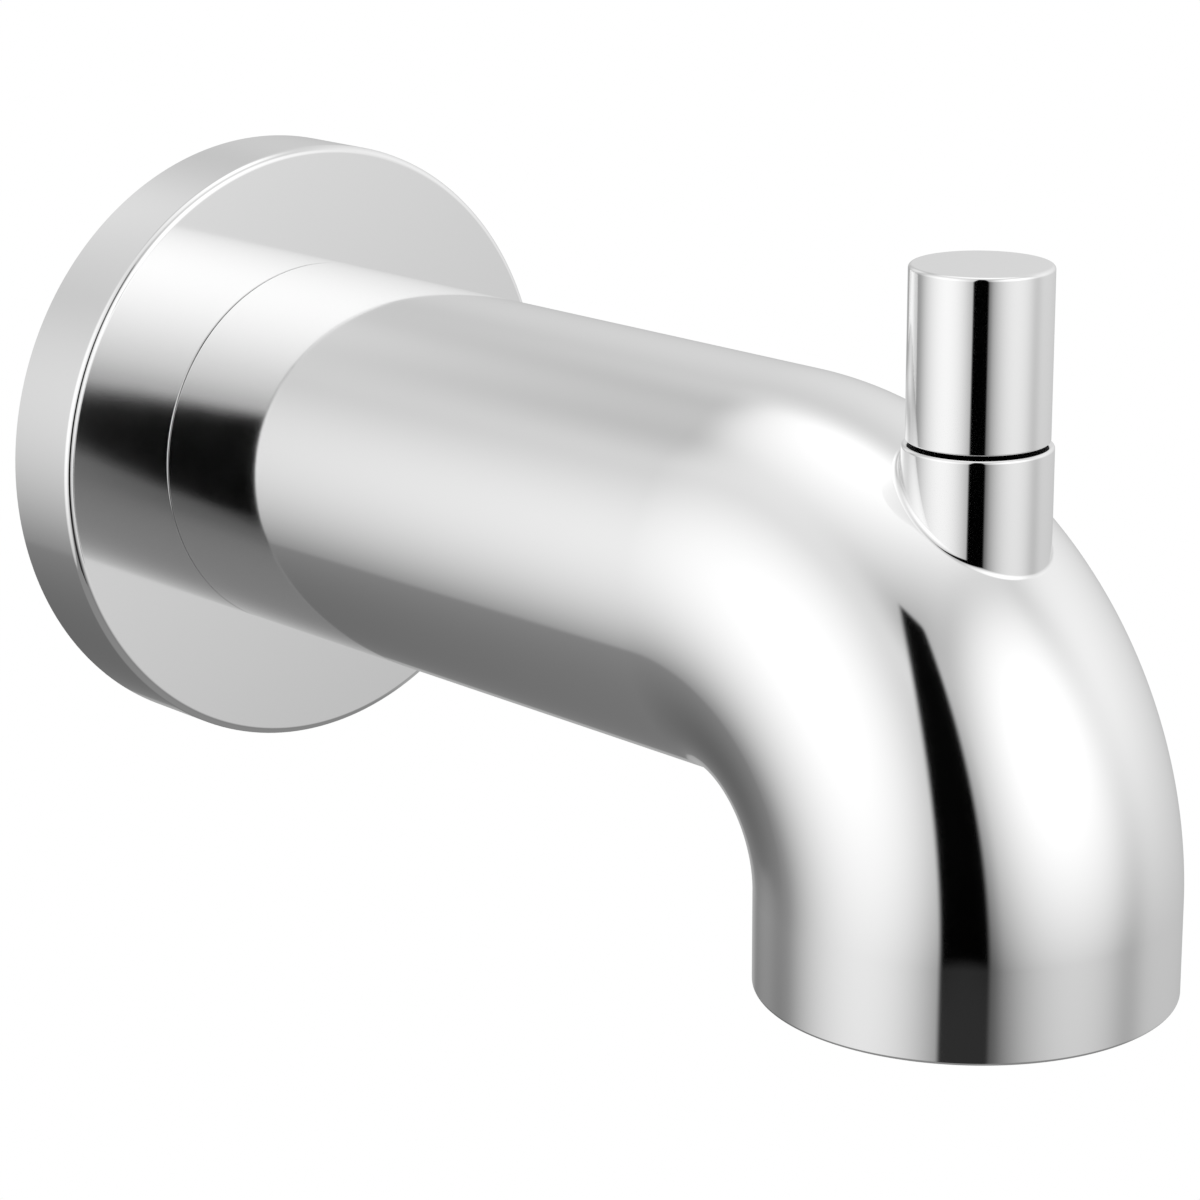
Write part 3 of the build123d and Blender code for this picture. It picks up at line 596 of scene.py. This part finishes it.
def turned_metal(name, light, dark, pitch, rough, axis, centre=(0, 0, 0)):
    """Metal turned on a lathe: the tool leaves a fine thread-like groove, along the piece's sides as bands
    and over its faces as rings, which spreads each highlight across the cut. The pitch is drawn coarser than
    a real cut so that it shows."""
    material, tree = new_material(name)
    place = add(tree, "ShaderNodeTexCoord").outputs["Object"]
    centred = add(tree, "ShaderNodeMapping", {"Vector": place, "Location": centre}).outputs["Vector"]
    groove = {"Vector": centred, "Scale": WAVE_LENGTH / (pitch * MM), "Distortion": 0.6, "Detail": 2.0}
    sides = add(tree, "ShaderNodeTexWave", groove, wave_type="BANDS", bands_direction=axis)
    ends = add(tree, "ShaderNodeTexWave", groove, wave_type="RINGS", rings_direction=axis)
    cut = add(tree, "ShaderNodeMath", {0: sides.outputs["Fac"], 1: ends.outputs["Fac"]}, operation="ADD")
    bump = add(tree, "ShaderNodeBump", {
        "Height": cut.outputs["Value"], "Strength": 0.35, "Distance": 0.02 * MM,
    })
    stain = add(tree, "ShaderNodeTexNoise", {"Vector": place, "Scale": per_mm(4), "Detail": 5.0})
    tone = add(tree, "ShaderNodeMix", {
        "Factor": stain.outputs["Fac"], "A": linear(light), "B": linear(dark),
    }, data_type="RGBA")
    gloss = add(tree, "ShaderNodeMapRange", {
        "Value": stain.outputs["Fac"], "To Min": rough - 0.06, "To Max": rough + 0.08,
    })
    shader = add(tree, "ShaderNodeBsdfPrincipled", {
        "Base Color": tone.outputs["Result"], "Metallic": 1.0, "Roughness": gloss.outputs["Result"],
        "Normal": bump.outputs["Normal"],
    })
    add(tree, "ShaderNodeOutputMaterial", {"Surface": shader.outputs["BSDF"]})
    return material


def phosphated_spring_steel():
    """Stamped spring steel with a dark phosphate coat: near black, with a fine crystal sparkle."""
    material, tree = new_material("phosphated_spring_steel")
    place = add(tree, "ShaderNodeTexCoord").outputs["Object"]
    crystal = add(tree, "ShaderNodeTexVoronoi", {"Vector": place, "Scale": per_mm(0.18)})
    bump = add(tree, "ShaderNodeBump", {
        "Height": crystal.outputs["Distance"], "Strength": 0.4, "Distance": 0.02 * MM,
    })
    tone = add(tree, "ShaderNodeMix", {
        "Factor": crystal.outputs["Distance"], "A": linear("3A3B3D"), "B": linear("57585A"),
    }, data_type="RGBA")
    shader = add(tree, "ShaderNodeBsdfPrincipled", {
        "Base Color": tone.outputs["Result"], "Metallic": 0.8, "Roughness": 0.42,
        "Normal": bump.outputs["Normal"],
    })
    add(tree, "ShaderNodeOutputMaterial", {"Surface": shader.outputs["BSDF"]})
    return material


def moulded_acetal():
    """White acetal from a spark-eroded mould: a satin, slightly waxy face with a fine even grain."""
    material, tree = new_material("moulded_acetal")
    place = add(tree, "ShaderNodeTexCoord").outputs["Object"]
    grain = add(tree, "ShaderNodeTexNoise", {"Vector": place, "Scale": per_mm(0.25), "Detail": 4.0})
    bump = add(tree, "ShaderNodeBump", {
        "Height": grain.outputs["Fac"], "Strength": 0.4, "Distance": 0.02 * MM,
    })
    flow = add(tree, "ShaderNodeTexNoise", {
        "Vector": place, "Scale": per_mm(9), "Detail": 2.0, "Distortion": 0.8,
    })
    tone = add(tree, "ShaderNodeMix", {
        "Factor": flow.outputs["Fac"], "A": linear("E9E8E2"), "B": linear("F2F1EC"),
    }, data_type="RGBA")
    gloss = add(tree, "ShaderNodeMapRange", {"Value": flow.outputs["Fac"], "To Min": 0.36, "To Max": 0.50})
    shader = add(tree, "ShaderNodeBsdfPrincipled", {
        "Base Color": tone.outputs["Result"], "Roughness": gloss.outputs["Result"], "IOR": 1.48,
        "Subsurface Weight": 0.15, "Subsurface Radius": (1.0, 0.9, 0.8), "Subsurface Scale": 0.8 * MM,
        "Normal": bump.outputs["Normal"],
    })
    add(tree, "ShaderNodeOutputMaterial", {"Surface": shader.outputs["BSDF"]})
    return material


def moulded_rubber():
    """Black nitrile rubber from a mould: matt, with a dusty bloom and a fine pebbled skin."""
    material, tree = new_material("moulded_nitrile_rubber")
    place = add(tree, "ShaderNodeTexCoord").outputs["Object"]
    pebble = add(tree, "ShaderNodeTexVoronoi", {"Vector": place, "Scale": per_mm(0.3)})
    bump = add(tree, "ShaderNodeBump", {
        "Height": pebble.outputs["Distance"], "Strength": 0.3, "Distance": 0.03 * MM,
    })
    bloom = add(tree, "ShaderNodeTexNoise", {"Vector": place, "Scale": per_mm(6), "Detail": 4.0})
    tone = add(tree, "ShaderNodeMix", {
        "Factor": bloom.outputs["Fac"], "A": linear("222324"), "B": linear("363738"),
    }, data_type="RGBA")
    shader = add(tree, "ShaderNodeBsdfPrincipled", {
        "Base Color": tone.outputs["Result"], "Roughness": 0.72, "IOR": 1.52,
        "Normal": bump.outputs["Normal"],
    })
    add(tree, "ShaderNodeOutputMaterial", {"Surface": shader.outputs["BSDF"]})
    return material


def chromed_pieces(finishes):
    """The three chromed pieces as fine surfaces, each in the place of its solid."""
    made = (
        ("spout_body", "spout_body_skin", spout_body_patches(), "spout"),
        ("wall_flange", "wall_flange_skin", flange_patches(), "spout"),
        ("diverter_knob", "diverter_knob_skin", knob_patches(), "diverter"),
    )
    for node, name, patches, body in made:
        piece = make_piece(name, patches, finishes)
        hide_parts(node)
        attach(piece, body)


def finish_solids(slots):
    """Gives each solid that still shows the material of its slot."""
    for part in frame["record"]["subparts"]:
        node = frame["nodes"][part["node"]]
        node.data.materials.clear()
        node.data.materials.append(slots[part["material_slot"]])


# Light tent, in metres from its middle: sheets of white cloth lit from outside, and a dark camera slot
TENT_MIDDLE = np.array([0, -0.09, 0])
TENT_R = 5.0               # radius of the dome that carries the tent's light
TENT_STEPS = 180           # steps from its bottom to its top
TENT_CORNER = 0.15         # softness of the tent's corners, as a share of their distance
TENT_HEIGHTS = (-4, 6)     # heights between which the light of a wall grows with height
# Each wall has its azimuth and distance, the place of its bright spot across and up, the light there and far
# from it, how far across and up that light reaches, what each metre up adds, and the softness of its foot
TENT_WALLS = (
    dict(azimuth=-109.9, distance=2.20, spot=(0.34, 0.13), bright=1.164, dim=0.477,
         reach=(3.24, 3.23), gain=0.129, foot=0.01),
    dict(azimuth=16.4, distance=2.00, spot=(-0.23, 0.66), bright=1.180, dim=0.244,
         reach=(3.25, 3.32), gain=0.123, foot=0.10),
    dict(azimuth=92.3, distance=1.715, spot=(-1.50, 0.595), bright=0.938, dim=0.517,
         reach=(5.09, 2.20), gain=0.083, foot=0.01),
    dict(azimuth=177.4, distance=3.50, spot=(0.00, 1.73), bright=0.881, dim=0.200,
         reach=(3.08, 4.08), gain=0.000, foot=0.01),
)
# Ceiling and floor have their height, their spot in x and y, the light there and far from it, and its reach
TENT_CEILING = dict(height=3.74, spot=(2.15, 0.56), bright=1.286, dim=0.080, reach=(9.00, 6.12))
TENT_FLOOR = dict(height=-1.58, spot=(0.16, 2.54), bright=0.135, dim=0.258, reach=(2.23, 2.23))
LEAST_SLOPE = 1e-3         # a direction that runs along a sheet or away from it counts as this slope
LEAST_WEIGHT = 1e-9        # weight of a far wall, so that the weights never add up to nothing
MOST_POWER = 50            # largest power of e
SLOT_AZIMUTH = -46.0
SLOT_DISTANCE = 2.0
SLOT_CARD = (0.77, -1.54, 3.15)  # half its width, its bottom and its top
SLOT_CELL = 0.01           # size of the card's cells
SLOT_GREY = 0.028          # light of what stands low in the slot
SLOT_LOW = -0.754          # top of that
SLOT_LOW_CURVE = 0.273     # how much it falls off to both sides
SLOT_LOW_SOFT = 0.154      # height over which it fades
# Left, right and top edge of the slot: place in its middle, lean and softness
SLOT_LEFT = (-0.442, 0.084, 0.115)
SLOT_RIGHT = (0.348, -0.058, 0.108)
SLOT_TOP = (2.68, -0.93, 0.23)
# Strip of cloth beside the right edge that gets less light: the share that it loses, its width, the height up
# to which it loses all of that share, and the height where it loses nothing
SHADE_DEPTH = 0.235
SHADE_WIDTH = 0.30
SHADE_HEIGHTS = (-0.15, 1.92)


def facing(azimuth):
    """Level directions towards an azimuth and to its right. The spout points towards azimuth 0."""
    turn = math.radians(azimuth)
    towards = np.array([math.sin(turn), -math.cos(turn), 0])
    return towards, np.array([math.cos(turn), math.sin(turn), 0])


def smooth(value, start, end):
    """Smooth step from 0 to 1 while a value goes from start to end: share^2 (3 - 2 share)."""
    share = np.clip((value - start) / (end - start), 0, 1)
    return share * share * (3 - 2 * share)


def faded(sheet, first, second):
    """Light of a lit sheet: bright at its spot, and dimmer by a smooth step out to its reach."""
    first_spot, second_spot = sheet["spot"]
    first_reach, second_reach = sheet["reach"]
    far = np.hypot((first - first_spot) / first_reach, (second - second_spot) / second_reach)
    return sheet["bright"] + (sheet["dim"] - sheet["bright"]) * smooth(far, 0, 1)


def level_sheet(sheet, way):
    """How far the ceiling or the floor is in each direction, and its light there."""
    run = abs(sheet["height"]) / np.maximum(np.sign(sheet["height"]) * way[:, 2], LEAST_SLOPE)
    return run, faded(sheet, run * way[:, 0], run * way[:, 1])


def tent_light(way):
    """Light of the tent in directions from its middle. The nearest sheet shows, and near a corner the next
    sheets blend in, with weights that fall as exp(-(how much farther they are, as a share) / softness). The
    floor's share is 1 / (1 + exp((how much farther it is than the nearest sheet, as a share) / softness of
    the walls' feet))."""
    far, light = [], []
    for wall in TENT_WALLS:
        towards, side = facing(wall["azimuth"])
        run = wall["distance"] / np.maximum(way @ towards, LEAST_SLOPE)
        up = run * way[:, 2]
        far.append(run)
        light.append(faded(wall, run * (way @ side), up) + wall["gain"] * np.clip(up, *TENT_HEIGHTS))
    ceiling_far, ceiling = level_sheet(TENT_CEILING, way)
    floor_far, floor = level_sheet(TENT_FLOOR, way)
    far, light = np.array([*far, ceiling_far]), np.array([*light, ceiling])
    near = far.min(0)
    weight = np.exp((1 - far / near) / TENT_CORNER)
    cloth = (weight * light).sum(0) / weight.sum(0)
    feet = np.array([wall["foot"] for wall in TENT_WALLS])[:, None] + 0 * weight[:-1]
    foot = np.average(feet, 0, np.maximum(weight[:-1], LEAST_WEIGHT))
    share = 1 / (1 + np.exp(np.clip((floor_far / near - 1) / foot, -MOST_POWER, MOST_POWER)))
    return np.maximum(cloth + share * (floor - cloth), 0)


def points_of(piece):
    """Points of a piece's mesh, one row for each."""
    points = np.empty((len(piece.data.vertices), 3), np.float32)
    piece.data.vertices.foreach_get("co", points.reshape(-1))
    return points


def set_point_values(piece, name, values):
    """Gives each point of a piece its value under a name that materials can read."""
    points = piece.data.attributes.new(name, "FLOAT", "POINT").data
    points.foreach_set("value", values.astype(np.float32))


def seen_in_mirrors(card):
    """Marks a piece of the studio that only mirror finishes see."""
    card.visible_camera = False
    card.visible_diffuse = False
    card.visible_shadow = False


def light_tent():
    """Dome round the spout, whose points carry the tent's light."""
    material, tree = new_material("lit_white_cloth")
    light = add(tree, "ShaderNodeAttribute", attribute_name="light")
    glow = add(tree, "ShaderNodeEmission", {"Color": WHITE, "Strength": light.outputs["Fac"]})
    add(tree, "ShaderNodeOutputMaterial", {"Surface": glow.outputs["Emission"]})
    up = np.radians(np.linspace(-90, 90, TENT_STEPS + 1))[:, None]
    turn = full_turn(2 * TENT_STEPS)[None, :]
    way = np.stack([np.cos(up) * np.cos(turn), np.cos(up) * np.sin(turn), np.sin(up) + 0 * turn], -1)
    dome = patch(((TENT_MIDDLE + TENT_R * way) / MM, -way), cells(TENT_STEPS + 1, 2 * TENT_STEPS), 0)
    tent = make_piece("light_tent", [dome], [material])
    set_point_values(tent, "light", tent_light((points_of(tent) - TENT_MIDDLE) / TENT_R))
    seen_in_mirrors(tent)


def slot_shade(across, height):
    """How far the slot covers the cloth at each place of its card, and the light in it.
    Its edges lean and are soft, and a grey round stands at its foot. Beside its right edge hangs a strip of
    cloth in half shade, so that the dark there is 1 - (1 - slot) (1 - strip)."""
    edge, lean, soft = SLOT_LEFT
    left = smooth(across - lean * height, edge - soft / 2, edge + soft / 2)
    edge, lean, soft = SLOT_TOP
    top = smooth(height - lean * across, edge + soft / 2, edge - soft / 2)
    edge, lean, soft = SLOT_RIGHT
    past = across - lean * height
    right = smooth(past, edge + soft / 2, edge - soft / 2)
    shaded, lit = SHADE_HEIGHTS
    strip = SHADE_DEPTH * smooth(past, edge + SHADE_WIDTH, edge) * smooth(height, lit, shaded)
    cover = left * top * (right + strip * (1 - right))
    above = height + SLOT_LOW_CURVE * across ** 2
    return cover, SLOT_GREY * smooth(above, SLOT_LOW + SLOT_LOW_SOFT / 2, SLOT_LOW - SLOT_LOW_SOFT / 2)


def camera_slot():
    """Card between the left and right walls, whose points carry the slot's cover and light."""
    material, tree = new_material("camera_slot")
    cover = add(tree, "ShaderNodeAttribute", attribute_name="cover").outputs["Fac"]
    tone = add(tree, "ShaderNodeAttribute", attribute_name="tone").outputs["Fac"]
    dark = add(tree, "ShaderNodeEmission", {"Color": WHITE, "Strength": tone}).outputs["Emission"]
    clear = add(tree, "ShaderNodeBsdfTransparent", {"Color": WHITE}).outputs["BSDF"]
    mixed = add(tree, "ShaderNodeMixShader", {0: cover, 1: clear, 2: dark})
    add(tree, "ShaderNodeOutputMaterial", {"Surface": mixed.outputs["Shader"]})
    towards, side = facing(SLOT_AZIMUTH)
    centre = TENT_MIDDLE + SLOT_DISTANCE * towards
    half, low, high = SLOT_CARD
    across = np.linspace(-half, half, round(2 * half / SLOT_CELL) + 1)
    height = np.linspace(low, high, round((high - low) / SLOT_CELL) + 1)[:, None]
    points = centre + across[:, None] * side + height[..., None] * UP
    grid = patch((points / MM, -towards + 0 * points), cells(len(height), len(across), False), 0)
    card = make_piece("camera_slot", [grid], [material])
    from_middle = points_of(card) - centre
    shade = slot_shade(from_middle @ side, from_middle[:, 2])
    for name, values in zip(("cover", "tone"), shade):
        set_point_values(card, name, values)
    seen_in_mirrors(card)


# White surroundings, in metres
FLOOR_Z = -1.9
FLOOR_HALF = 20.0          # half the width of the pale floor
WORLD_LEVEL = 0.9          # light of the world on the pieces


def backdrop_white(tree, level):
    """Strength that is plain white to the camera and in mirrors and glass, and a set level for all else."""
    path = add(tree, "ShaderNodeLightPath").outputs
    seen = path["Is Camera Ray"]
    for ray in ("Is Glossy Ray", "Is Transmission Ray"):
        seen = add(tree, "ShaderNodeMath", {0: seen, 1: path[ray]}, operation="MAXIMUM").outputs["Value"]
    return add(tree, "ShaderNodeMapRange", {"Value": seen, "To Min": level, "To Max": 1.0}).outputs["Result"]


def white_surroundings():
    """Even white world, and a pale floor far below the spout that reads as the same white."""
    world = bpy.data.worlds.new("white_studio")
    world.use_nodes = True
    tree = world.node_tree
    tree.nodes.clear()
    light = add(tree, "ShaderNodeBackground", {"Color": WHITE, "Strength": backdrop_white(tree, WORLD_LEVEL)})
    add(tree, "ShaderNodeOutputWorld", {"Surface": light.outputs["Background"]})
    bpy.context.scene.world = world

    material, tree = new_material("pale_floor")
    pale = add(tree, "ShaderNodeBsdfDiffuse", {"Color": linear("E8E8E8")}).outputs["BSDF"]
    white = add(tree, "ShaderNodeEmission", {"Color": WHITE, "Strength": 1.0}).outputs["Emission"]
    mixed = add(tree, "ShaderNodeMixShader", {0: backdrop_white(tree, 0.0), 1: pale, 2: white})
    add(tree, "ShaderNodeOutputMaterial", {"Surface": mixed.outputs["Shader"]})
    x, y = np.meshgrid([-FLOOR_HALF, FLOOR_HALF], [-FLOOR_HALF, FLOOR_HALF])
    points = np.stack([x, y, np.full_like(x, FLOOR_Z)], -1)
    sheet = patch((points / MM, UP + 0 * points), cells(2, 2, False), 0)
    floor = make_piece("pale_floor", [sheet], [material])
    floor.visible_glossy = False


# Camera, worked out from the photograph's own perspective
CAMERA_AZIMUTH = -42.2007
CAMERA_ELEVATION = 16.1064
CAMERA_ROLL = -0.2684
CAMERA_TARGET = np.array([-0.038, -71.165, -10.262]) * MM
CAMERA_DISTANCE = 485.22 * MM
CAMERA_LENS = 112.85
CAMERA_SENSOR = 36.0
CAMERA_NEAREST = 0.01      # nearest distance that it sees, in metres


def aim_camera():
    """Camera on a ray from its target, with the lens that gives the photograph's perspective."""
    elevation, roll = np.radians([CAMERA_ELEVATION, CAMERA_ROLL])
    towards, level = facing(CAMERA_AZIMUTH)
    back = math.cos(elevation) * towards + math.sin(elevation) * UP
    rise = np.cross(back, level)
    right = math.cos(roll) * level + math.sin(roll) * rise
    up = math.cos(roll) * rise - math.sin(roll) * level
    lens = bpy.data.cameras.new("camera")
    lens.lens = CAMERA_LENS
    lens.sensor_width = CAMERA_SENSOR
    lens.clip_start = CAMERA_NEAREST
    camera = bpy.data.objects.new("camera", lens)
    place = np.eye(4)
    place[:3, :3] = np.stack([right, up, back], -1)
    place[:3, 3] = CAMERA_TARGET + CAMERA_DISTANCE * back
    camera.matrix_world = Matrix(place.tolist())
    bpy.context.scene.collection.objects.link(camera)
    bpy.context.scene.camera = camera


CHROME = polished_chrome()
# Pitch of the lathe's cut, roughness, and the axis that each kind of piece was turned on
BRASS = turned_metal("turned_brass", "D9BE86", "C6A465", 0.30, 0.28, "Y")
STAINLESS = turned_metal("turned_stainless_steel", "C9CACB", "B4B5B7", 0.20, 0.25, "Z", (0, REACH * MM, 0))
chromed_pieces((CHROME, plain_casting(), painted_shade_plate()))
finish_solids({
    "polished_chrome": CHROME,
    "turned_brass": BRASS,
    "stainless_steel": STAINLESS,
    "spring_steel": phosphated_spring_steel(),
    "acetal": moulded_acetal(),
    "seal_rubber": moulded_rubber(),
})
light_tent()
camera_slot()
white_surroundings()
aim_camera()
bpy.context.scene.view_settings.view_transform = "Standard"
